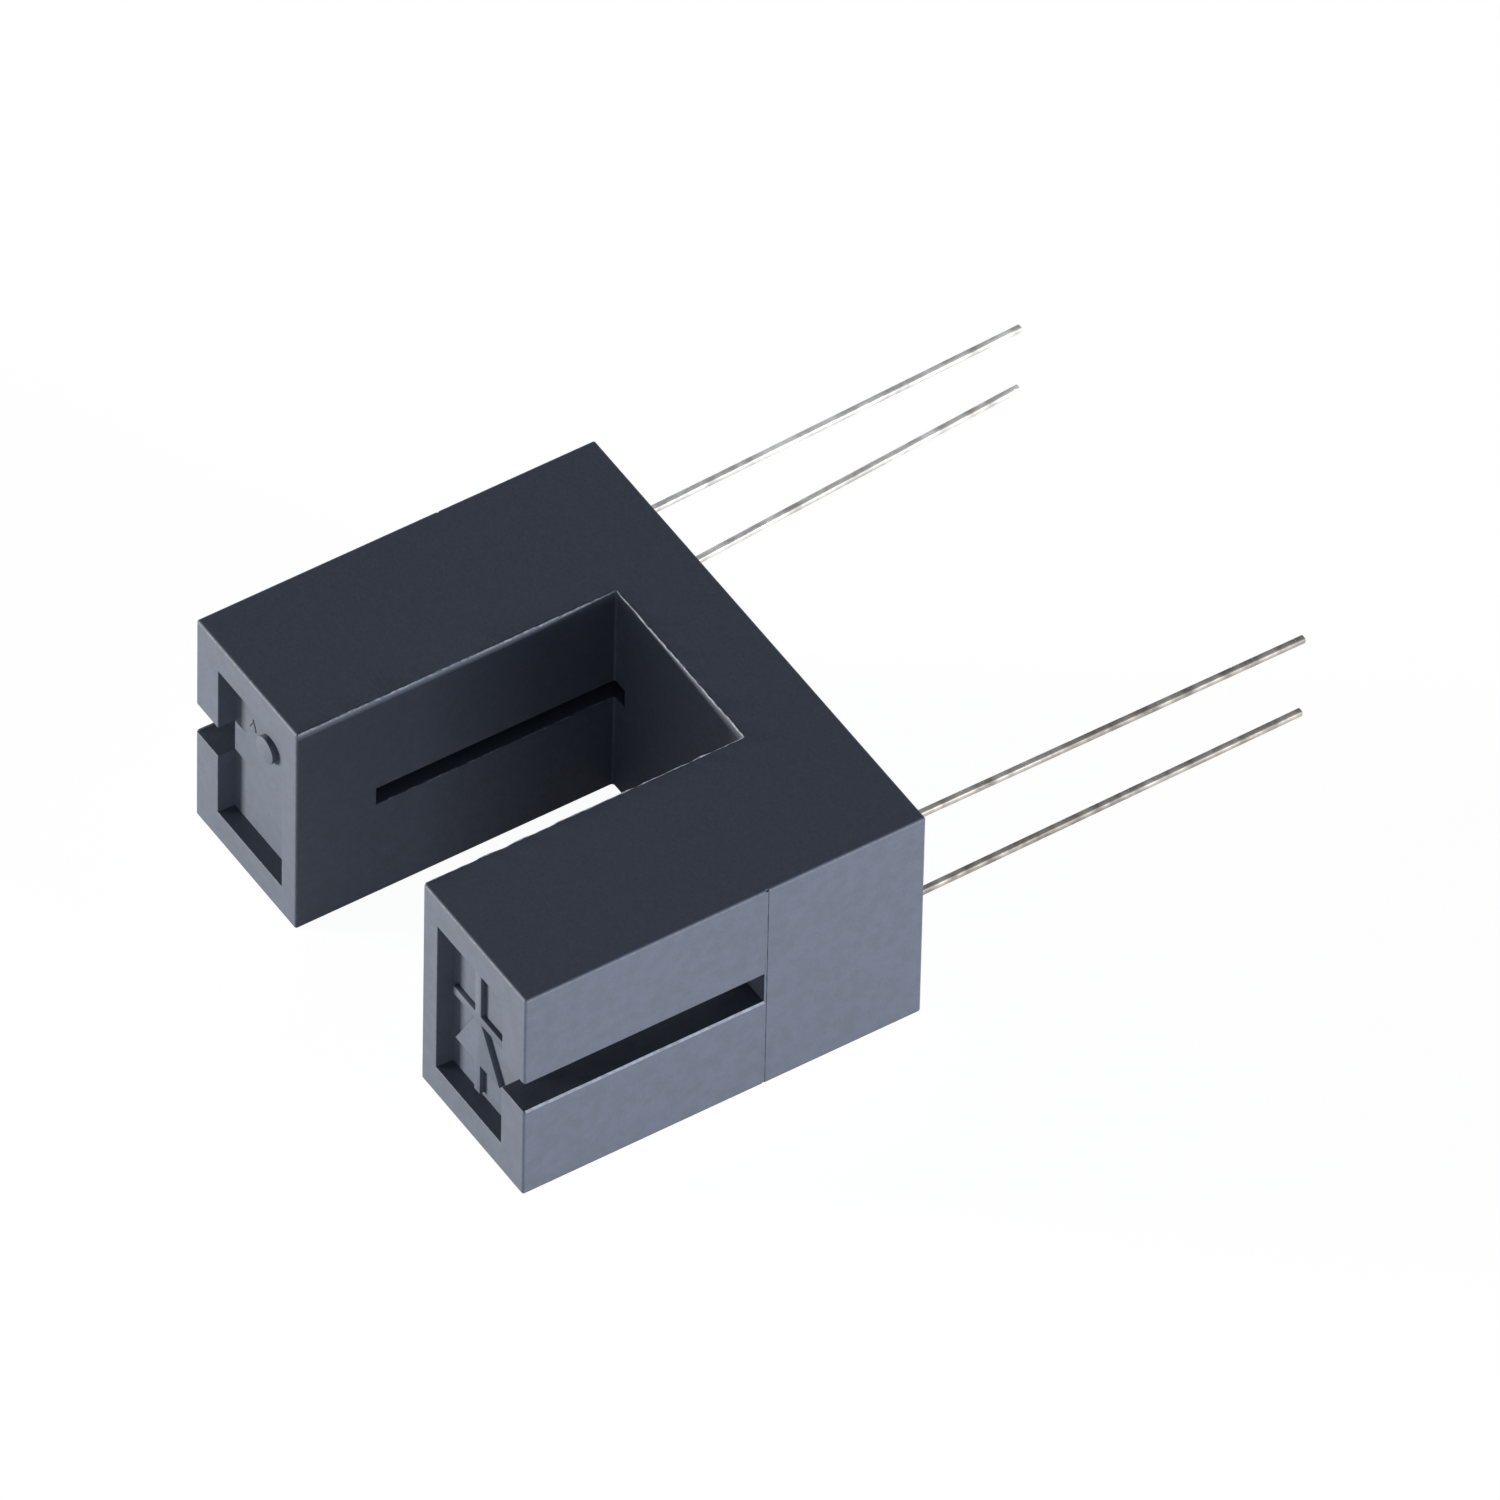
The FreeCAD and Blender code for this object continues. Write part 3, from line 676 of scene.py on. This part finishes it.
@dataclass
class HousingDress:
    """The moulded U and what stands on it: the raised signs in the tip recesses and the flash."""

    finishes: Finishes
    # The housing's inner edges, where the flash and the signs sit on the solid
    gap_half: float = 2.5
    web_y: float = -2.0
    recess_depth: float = 0.43
    slot_half: float = 0.435
    slot_end_y: float = -4.0
    slit_half: float = 0.25
    slit_start_y: float = -8.0
    witness_width: float = 0.07
    # The flash, which stops short of the rounded outer edges
    flash_inset: float = 0.05
    hairline: Burr = Burr(width=0.032, sink=0.008, wander=0.03)
    lip: Burr = Burr(width=0.06, sink=-0.006, wander=0.008)
    witness_fill: Burr = Burr(width=0.056, sink=0.012, wander=0.008)
    # The diode sign, with its lead's two ends, its bar and its triangle from apex to base
    sign_rise: float = 0.125
    sign_sink: float = 0.03
    sign_edge: float = 0.015
    sign_stroke: float = 0.22
    sign_centre_x: float = 4.2
    upper_end_z: float = 1.82
    bar_top_z: float = 0.34
    bar_low_z: float = 0.12
    bar_length: float = 1.95
    apex_z: float = 0.36
    base_z: float = -1.17
    base_half: float = 0.87
    lower_end_z: float = -2.05
    # The dot and the caret beside it
    dot_diameter: float = 0.66
    dot_corners: int = 64
    dot_rise: float = 0.14
    dot_x: float = -4.24
    dot_z: float = 0.83
    caret_x: float = -4.9
    caret_z: float = 1.0
    caret_size: float = 0.24
    caret_drop: float = 0.091
    caret_rise: float = 0.025
    # The housing's outer faces and the recesses' floor, from the frame
    tip_y: float = field(init=False)
    side_x: float = field(init=False)
    top_z: float = field(init=False)
    floor_y: float = field(init=False)

    def __post_init__(self) -> None:
        """Takes the housing's outer faces from the frame, and the recesses' floor from its tips."""
        low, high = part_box("housing")
        self.tip_y = low.y / MM
        self.side_x = high.x / MM
        self.top_z = high.z / MM
        self.floor_y = self.tip_y + self.recess_depth

    def build(self) -> None:
        """Dresses the housing and adds its signs and flash."""
        dress(FRAME["nodes"]["housing"], self.finishes.plastic, Shading.ROUNDED)
        self.diode_sign()
        self.sensor_dot()
        self.caret()
        self.mould_flash()

    def raise_outline(self, name: str, outline: Sequence[tuple[float, float]],
                      rise: float) -> bpy.types.Object:
        """Raises a flat outline from the floor of a recess.

        Args:
            name: The new piece's name.
            outline: Corners as X and Z, in order round the sign.
            rise: How far the sign stands out of the floor.

        Returns:
            The new piece.
        """
        deselect_all()
        bpy.ops.mesh.primitive_circle_add(vertices=len(outline), radius=MM, fill_type="NGON")
        piece = bpy.context.object
        piece.name = name
        base_y = self.floor_y + self.sign_sink
        for vertex, (x, z) in zip(piece.data.vertices, outline):
            vertex.co = Vector((x, base_y, z)) * MM
        pick(piece)
        bpy.ops.object.mode_set(mode="EDIT")
        bpy.ops.mesh.select_all(action="SELECT")
        bpy.ops.mesh.extrude_region_move(
            TRANSFORM_OT_translate={"value": (0, -(rise + self.sign_sink) * MM, 0)})
        bpy.ops.object.mode_set(mode="OBJECT")
        return piece

    def diode_sign(self) -> None:
        """Models the raised diode sign in the emitter arm's recess: lead, bar, triangle and lead."""
        half = self.sign_stroke / 2
        slope = self.base_half / (self.apex_z - self.base_z)
        right = [
            (half, self.upper_end_z),
            (half, self.bar_top_z),
            (self.bar_length / 2, self.bar_top_z),
            (self.bar_length / 2, self.bar_low_z),
            ((self.apex_z - self.bar_low_z) * slope, self.bar_low_z),
            (self.base_half, self.base_z),
            (half, self.base_z),
            (half, self.lower_end_z),
        ]
        left = [(-x, z) for x, z in reversed(right)]
        outline = [(self.sign_centre_x + x, z) for x, z in right + left]
        piece = self.raise_outline("diode_sign", outline, self.sign_rise)
        self.finish_sign(piece)

    def sensor_dot(self) -> None:
        """Models the raised round dot in the sensor arm's recess."""
        deselect_all()
        depth = self.dot_rise + self.sign_sink
        bpy.ops.mesh.primitive_cylinder_add(
            vertices=self.dot_corners, radius=self.dot_diameter / 2 * MM, depth=depth * MM,
            location=(self.dot_x * MM, (self.floor_y + self.sign_sink - depth / 2) * MM, self.dot_z * MM),
            rotation=(math.radians(90), 0, 0))
        piece = bpy.context.object
        piece.name = "sensor_dot"
        apply_place(piece)
        self.finish_sign(piece)

    def caret(self) -> None:
        """Models the small raised caret beside the dot."""
        reach = self.caret_size / 2
        outline = [
            (self.caret_x - reach, self.caret_z - reach),
            (self.caret_x, self.caret_z + reach),
            (self.caret_x + reach, self.caret_z - reach),
            (self.caret_x + reach, self.caret_z - reach - self.caret_drop),
            (self.caret_x, self.caret_z + reach - self.caret_drop),
            (self.caret_x - reach, self.caret_z - reach - self.caret_drop),
        ]
        piece = self.raise_outline("sensor_caret", outline, self.caret_rise)
        self.finish_sign(piece)

    def finish_sign(self, piece: bpy.types.Object) -> None:
        """Closes, rounds and dresses a raised sign.

        Args:
            piece: The sign.
        """
        close_mesh(piece)
        round_edges(piece, self.sign_edge)
        dress(piece, self.finishes.plastic, Shading.ROUNDED, "housing_plastic")

    def mould_flash(self) -> None:
        """Runs the flash along the edges where the mould's inserts meet the housing."""
        right, back, up = Vector((1, 0, 0)), Vector((0, 1, 0)), Vector((0, 0, 1))
        front_y = self.tip_y + self.flash_inset
        sensor_front, sensor_back, emitter_back, emitter_front = [
            Vector((x, y, self.top_z)) for x, y in (
                (-self.gap_half, front_y), (-self.gap_half, self.web_y),
                (self.gap_half, self.web_y), (self.gap_half, front_y))]
        # Their pale colour is partly whitened flash and partly a painted highlight of the gap's and slits'
        # edges
        self.flash("gap_flash_highlight_sensor", sensor_front, sensor_back, up + right, self.hairline)
        self.flash("gap_flash_highlight_web", sensor_back, emitter_back, up - back, self.hairline)
        self.flash("gap_flash_highlight_emitter", emitter_back, emitter_front, up - right, self.hairline)
        groove_y = self.slot_end_y + self.witness_width / 2
        groove_top = self.top_z - self.flash_inset
        for arm in Arm:
            outward = right * arm.value
            side = self.side_x * arm.value
            inner = self.gap_half * arm.value
            # The slots' lip ridges get the lighter colour, a painted highlight of the rounded lip
            self.flash(f"{arm.prefix}_slot_flash_highlight", Vector((side, front_y, -self.slot_half)),
                       Vector((side, self.slot_end_y, -self.slot_half)), outward + up, self.lip,
                       self.finishes.lip_flash)
            self.flash(f"{arm.prefix}_slit_flash_highlight", Vector((inner, self.slit_start_y, -self.slit_half)),
                       Vector((inner, self.web_y, -self.slit_half)), up - outward, self.hairline)
            self.flash(f"{arm.prefix}_witness_flash", Vector((side, groove_y, -groove_top)),
                       Vector((side, groove_y, groove_top)), outward, self.witness_fill,
                       self.finishes.plastic)

    def flash(self, name: str, start: Vector, end: Vector, outward: Vector, burr: Burr,
              material: Optional[bpy.types.Material] = None) -> None:
        """Runs flash along a straight edge or in the witness groove.

        Args:
            name: The new piece's name.
            start: Where the edge starts.
            end: Where it ends.
            outward: The direction out of the edge.
            burr: The kind of flash.
            material: Its material, or none for the flash's own.
        """
        run = end - start
        along = run.normalized()
        out = outward.normalized()
        across = along.cross(out)
        deselect_all()
        bpy.ops.mesh.primitive_cube_add(size=MM)
        piece = bpy.context.object
        piece.name = name
        turn = Matrix((along * run.length, across * burr.width, out * burr.height)).transposed().to_4x4()
        middle = (start + end) / 2 - out * (burr.sink + burr.height / 2)
        piece.matrix_world = Matrix.Translation(middle * MM) @ turn
        apply_place(piece)
        pick_edges(piece, along)
        bpy.ops.mesh.subdivide(number_cuts=int(run.length / burr.step))
        bpy.ops.object.mode_set(mode="OBJECT")
        shift = Vector((1, 1, 1)) * burr.drift_shift
        for vertex in piece.data.vertices:
            point = vertex.co / MM / burr.feature
            rise = noise.noise(point) * burr.wander
            drift = noise.noise(point * 2 + shift) * burr.wander / 2
            vertex.co += (out * rise + across * drift) * MM
        close_mesh(piece)
        # The flash's own material is paler than the housing: partly whitened flash, partly a painted
        # highlight
        dress(piece, material or self.finishes.flash, Shading.FLAT, "housing_plastic")


@dataclass
class ArmDress:
    """What one arm holds: its plated leads, epoxy package, chip, wire and potting."""

    arm: Arm
    finishes: Finishes
    leads: tuple[str, str]
    lead_edge: float = 0.03
    skin_columns: int = 36
    skin_rows: int = 60
    skin_sink: float = 0.03
    wall_creep: float = 0.16
    wall_reach: float = 0.16
    lead_creep: float = 0.2
    lead_reach: float = 0.09
    level_tolerance: float = 0.001

    def build(self) -> None:
        """Dresses the arm's pieces."""
        prefix = self.arm.prefix
        nodes = FRAME["nodes"]
        epoxy = self.finishes.clear_epoxy if self.arm is Arm.EMITTER else self.finishes.filter_epoxy
        dress(nodes[f"{prefix}_package"], epoxy, Shading.ROUNDED)
        dress(nodes[f"{prefix}_chip"], self.finishes.wafer, Shading.FLAT)
        dress(nodes[f"{prefix}_bond_wire"], self.finishes.gold, Shading.ROUNDED)
        dress(nodes[f"{prefix}_seal"], self.finishes.potting, Shading.FLAT)
        for lead in self.leads:
            self.plate_lead(f"{prefix}_{lead}_lead")
        self.potting_skin()

    def potting_skin(self) -> None:
        """Models the cured skin of the potting, which creeps up the cavity's walls and the leads."""
        low, high = (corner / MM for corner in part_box(f"{self.arm.prefix}_seal"))
        size = high - low
        middle = (low + high) / 2
        deselect_all()
        bpy.ops.mesh.primitive_grid_add(
            x_subdivisions=self.skin_columns, y_subdivisions=self.skin_rows, size=MM,
            location=(middle.x * MM, high.y * MM, middle.z * MM), rotation=(math.radians(90), 0, 0))
        piece = bpy.context.object
        piece.name = f"{self.arm.prefix}_seal_skin"
        piece.scale = (size.x, size.z, 1)
        apply_place(piece)
        axes = [self.lead_point(lead, low, high.y) for lead in self.leads]
        for vertex in piece.data.vertices:
            vertex.co.y += self.creep(vertex.co / MM, low, high, axes) * MM
        bpy.ops.object.mode_set(mode="EDIT")
        bpy.ops.mesh.select_all(action="SELECT")
        bpy.ops.mesh.extrude_region_move()
        bpy.ops.object.mode_set(mode="OBJECT")
        for vertex in piece.data.vertices:
            if vertex.select:
                vertex.co.y = (high.y - self.skin_sink) * MM
        close_mesh(piece)
        dress(piece, self.finishes.potting, Shading.ROUNDED, "potting")

    def lead_point(self, lead: str, low: Vector, level: float) -> Vector:
        """Finds where a lead's axis passes a level, from the foot of its leg and its free end.

        Args:
            lead: The lead's own word in its name.
            low: The lowest corner of the potting, where the leg starts to lean.
            level: The level along Y.

        Returns:
            The point on the axis.
        """
        node = FRAME["nodes"][f"{self.arm.prefix}_{lead}_lead"]
        points = [vertex.co / MM for vertex in node.data.vertices]
        tip = max(point.y for point in points)
        near = self.level_tolerance
        ends = [point for point in points if point.y > tip - near]
        feet = [point for point in points if abs(point.y - low.y) < near]
        end = sum(ends, Vector()) / len(ends)
        foot = sum(feet, Vector()) / len(feet)
        return foot.lerp(end, (level - foot.y) / (end.y - foot.y))

    def creep(self, point: Vector, low: Vector, high: Vector, axes: Sequence[Vector]) -> float:
        """Works out how far the potting has crept up at a point of its skin.

        Args:
            point: The point.
            low: The lowest corner of the potting.
            high: The highest corner of the potting.
            axes: Where the leads' axes pass the level potting.

        Returns:
            The rise over the level potting.
        """
        to_wall = min(point.x - low.x, high.x - point.x, point.z - low.z, high.z - point.z)
        rise = self.wall_creep * math.exp(-to_wall / self.wall_reach)
        for axis in axes:
            to_lead = math.hypot(point.x - axis.x, point.z - axis.z)
            rise = max(rise, self.lead_creep * math.exp(-to_lead / self.lead_reach))
        return rise

    def plate_lead(self, node: str) -> None:
        """Replaces a lead by a copy with the rounded edges that plating leaves.

        Args:
            node: The frame's lead.
        """
        pick(FRAME["nodes"][node])
        bpy.ops.object.duplicate()
        piece = bpy.context.object
        piece.name = f"{node}_plated"
        piece.parent = None
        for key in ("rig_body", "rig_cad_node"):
            if key in piece:
                del piece[key]
        close_mesh(piece)
        bpy.ops.object.mode_set(mode="EDIT")
        bpy.ops.mesh.select_all(action="SELECT")
        bpy.ops.mesh.dissolve_limited(angle_limit=math.radians(FLAT_TO_DEG))
        bpy.ops.object.mode_set(mode="OBJECT")
        round_edges(piece, self.lead_edge)
        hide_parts(node)
        # The emitter's leads get the darker copy of the same tin, which is painted shade
        tin = self.finishes.dull_tin if self.arm is Arm.EMITTER else self.finishes.tin
        dress(piece, tin, Shading.ROUNDED, "tinned_lead")


@dataclass(frozen=True)
class StripLamp:
    """One strip lamp: where it stands round the switch, its power and its colour."""

    name: str
    azimuth_deg: float
    watts: float
    tint: str


def towards_place(azimuth_deg: float, elevation_deg: float) -> Vector:
    """Works out the direction from the switch towards a place round it.

    Args:
        azimuth_deg: The place's azimuth, from straight before the tips.
        elevation_deg: Its height over the table, as an angle.

    Returns:
        The unit vector.
    """
    azimuth = math.radians(azimuth_deg)
    elevation = math.radians(elevation_deg)
    return Vector((math.sin(azimuth) * math.cos(elevation),
                   -math.cos(azimuth) * math.cos(elevation), math.sin(elevation)))


@dataclass
class Studio:
    """White table, soft lamps and the camera at the photograph's viewing angle."""

    azimuth_deg: float = 56.35
    elevation_deg: float = 46.76
    distance: float = 637.0
    roll_deg: float = 1.28
    lens: float = 720.0
    sensor_width: float = 36.0
    sight_from: float = 50.0
    sight_to: float = 10000.0
    aim: Point = (0.54, -0.53, 0.0)
    floor_half: float = 1500.0
    floor_gap: float = 0.002
    strip_length: float = 140.0
    strip_height: float = 16.0
    strip_distance: float = 420.0
    strip_elevation_deg: float = 1.4
    strips: tuple[StripLamp, ...] = (
        StripLamp("left_strip", azimuth_deg=-38.0, watts=4.0, tint="#fffaf0"),
        StripLamp("corner_strip", azimuth_deg=48.0, watts=0.5, tint="#ffffff"),
        StripLamp("right_strip", azimuth_deg=114.0, watts=3.0, tint="#ffffff"),
    )
    room_light: float = 0.04
    room_sheen: float = 0.85
    room_tint: str = "#ecf4ff"

    def build(self) -> None:
        """Builds the camera, the floor, the lamps and the world."""
        self.camera()
        self.floor()
        for strip in self.strips:
            self.lamp(strip)
        self.world()
        bpy.context.scene.view_settings.view_transform = "Standard"

    def camera(self) -> None:
        """Places the camera far off with a long lens."""
        data = bpy.data.cameras.new("photo_camera")
        data.lens = self.lens
        data.sensor_width = self.sensor_width
        data.clip_start = self.sight_from * MM
        data.clip_end = self.sight_to * MM
        camera = bpy.data.objects.new("photo_camera", data)
        bpy.context.scene.collection.objects.link(camera)
        towards = towards_place(self.azimuth_deg, self.elevation_deg)
        camera.location = (Vector(self.aim) + towards * self.distance) * MM
        turn = (-towards).to_track_quat("-Z", "Y").to_matrix()
        roll = Matrix.Rotation(math.radians(self.roll_deg), 3, "Z")
        camera.rotation_mode = "QUATERNION"
        camera.rotation_quaternion = (turn @ roll).to_quaternion()
        bpy.context.scene.camera = camera

    def floor(self) -> None:
        """Adds the white table, on which the switch lies."""
        deselect_all()
        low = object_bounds()[0].z / MM
        bpy.ops.mesh.primitive_plane_add(size=2 * self.floor_half * MM,
                                         location=(0, 0, (low - self.floor_gap) * MM))
        floor = bpy.context.object
        floor.name = "white_table"
        floor.data.materials.append(TableCard().make())
        floor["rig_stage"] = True

    def lamp(self, strip: StripLamp) -> None:
        """Adds one strip lamp, low over the table, that faces the switch.

        Args:
            strip: The lamp.
        """
        data = bpy.data.lights.new(strip.name, "AREA")
        data.shape = "RECTANGLE"
        data.size = self.strip_length * MM
        data.size_y = self.strip_height * MM
        data.energy = strip.watts
        data.color = linear(strip.tint)[:3]
        lamp = bpy.data.objects.new(strip.name, data)
        bpy.context.scene.collection.objects.link(lamp)
        towards = towards_place(strip.azimuth_deg, self.strip_elevation_deg)
        lamp.location = (Vector(self.aim) + towards * self.strip_distance) * MM
        lamp.rotation_mode = "QUATERNION"
        lamp.rotation_quaternion = (-towards).to_track_quat("-Z", "Y")

    def world(self) -> None:
        """Makes the room: white where the camera or glass looks past the table, and dim elsewhere."""
        world = bpy.data.worlds.new("white_room")
        bpy.context.scene.world = world
        world.use_nodes = True
        tree = world.node_tree
        tree.nodes.clear()
        path = add_node(tree, "ShaderNodeLightPath")
        seen = add_node(tree, "ShaderNodeMath", {"operation": "MAXIMUM"},
                        n0=path.outputs["Is Camera Ray"], n1=path.outputs["Is Transmission Ray"])
        mirrored = add_node(tree, "ShaderNodeMath", {"operation": "MULTIPLY"},
                            n0=path.outputs["Is Glossy Ray"], n1=self.room_sheen)
        share = add_node(tree, "ShaderNodeMath", {"operation": "MAXIMUM"},
                         n0=seen.outputs[0], n1=mirrored.outputs[0])
        strength = add_node(tree, "ShaderNodeMapRange", Value=share.outputs[0],
                            To_Min=self.room_light, To_Max=1.0)
        background = add_node(tree, "ShaderNodeBackground", Color=linear(self.room_tint),
                              Strength=strength.outputs[0])
        add_node(tree, "ShaderNodeOutputWorld", Surface=background.outputs[0])


def main() -> None:
    """Builds the studio and dresses the switch."""
    logging.basicConfig(level=logging.INFO, format="%(name)s: %(message)s")
    finishes = Finishes.make()
    HousingDress(finishes).build()
    ArmDress(Arm.EMITTER, finishes, ("cathode", "anode")).build()
    ArmDress(Arm.SENSOR, finishes, ("collector", "emitter")).build()
    Studio().build()


if __name__ == "__main__":
    main()
